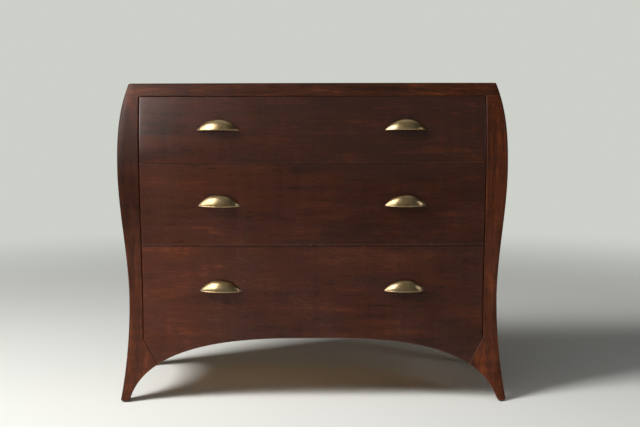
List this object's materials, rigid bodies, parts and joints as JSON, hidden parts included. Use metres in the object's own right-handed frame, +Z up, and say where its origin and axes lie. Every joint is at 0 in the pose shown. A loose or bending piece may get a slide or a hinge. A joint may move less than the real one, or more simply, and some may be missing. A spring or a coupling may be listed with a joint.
{
  "type": "chest of drawers",
  "caption": "Bombé chest of drawers in dark mahogany with a swelling bowed front, arched foot, sabre legs and brass cup pulls.",
  "frame": {"origin": "on the floor, under the middle of the chest with its pulls", "axes": "+Z up, +Y to the back, so the drawers open towards -Y; +X to the right of someone facing the front"},
  "size_m": [1.0964, 0.4944, 0.9],
  "materials": {
    "mahogany_solid": "satin lacquer on red-brown mahogany",
    "mahogany_veneer": "satin lacquer on dark brown mahogany with fine horizontal grain",
    "lining_wood": "bare planed hardwood",
    "drawer_plywood": "bare plywood",
    "back_plywood": "stained plywood",
    "aged_brass": "aged, softly polished",
    "glide_plastic": "matte"
  },
  "bodies": {
    "case": {"back_panel": "back_plywood", "front_glide_left": "glide_plastic", "front_glide_right": "glide_plastic", "front_leg_left": "mahogany_solid", "front_leg_right": "mahogany_solid", "front_rail_top": "mahogany_solid", "kicker_left": "lining_wood", "kicker_right": "lining_wood", "rail_under_lower_drawer": "mahogany_solid", "rail_under_middle_drawer": "mahogany_solid", "rail_under_upper_drawer": "mahogany_solid", "rear_glide_left": "glide_plastic", "rear_glide_right": "glide_plastic", "rear_leg_left": "mahogany_solid", "rear_leg_right": "mahogany_solid", "rear_rail_bottom": "lining_wood", "rear_rail_top": "lining_wood", "runner_lower_left": "lining_wood", "runner_lower_right": "lining_wood", "runner_middle_left": "lining_wood", "runner_middle_right": "lining_wood", "runner_upper_left": "lining_wood", "runner_upper_right": "lining_wood", "side_panel_left": "mahogany_veneer", "side_panel_right": "mahogany_veneer", "top_panel": "mahogany_solid"},
    "drawer_upper": {"drawer_upper_back": "lining_wood", "drawer_upper_bottom": "drawer_plywood", "drawer_upper_front": "mahogany_veneer", "drawer_upper_pull_left": "aged_brass", "drawer_upper_pull_right": "aged_brass", "drawer_upper_side_left": "lining_wood", "drawer_upper_side_right": "lining_wood"},
    "drawer_middle": {"drawer_middle_back": "lining_wood", "drawer_middle_bottom": "drawer_plywood", "drawer_middle_front": "mahogany_veneer", "drawer_middle_pull_left": "aged_brass", "drawer_middle_pull_right": "aged_brass", "drawer_middle_side_left": "lining_wood", "drawer_middle_side_right": "lining_wood"},
    "drawer_lower": {"drawer_lower_back": "lining_wood", "drawer_lower_bottom": "drawer_plywood", "drawer_lower_front": "mahogany_veneer", "drawer_lower_pull_left": "aged_brass", "drawer_lower_pull_right": "aged_brass", "drawer_lower_side_left": "lining_wood", "drawer_lower_side_right": "lining_wood"}
  },
  "joints": [
    {"name": "drawer_upper_slide", "type": "slide", "parent": "case", "child": "drawer_upper", "axis": [0, -1, 0], "range_m": [0, 0.32]},
    {"name": "drawer_middle_slide", "type": "slide", "parent": "case", "child": "drawer_middle", "axis": [0, -1, 0], "range_m": [0, 0.32]},
    {"name": "drawer_lower_slide", "type": "slide", "parent": "case", "child": "drawer_lower", "axis": [0, -1, 0], "range_m": [0, 0.32]}
  ]
}
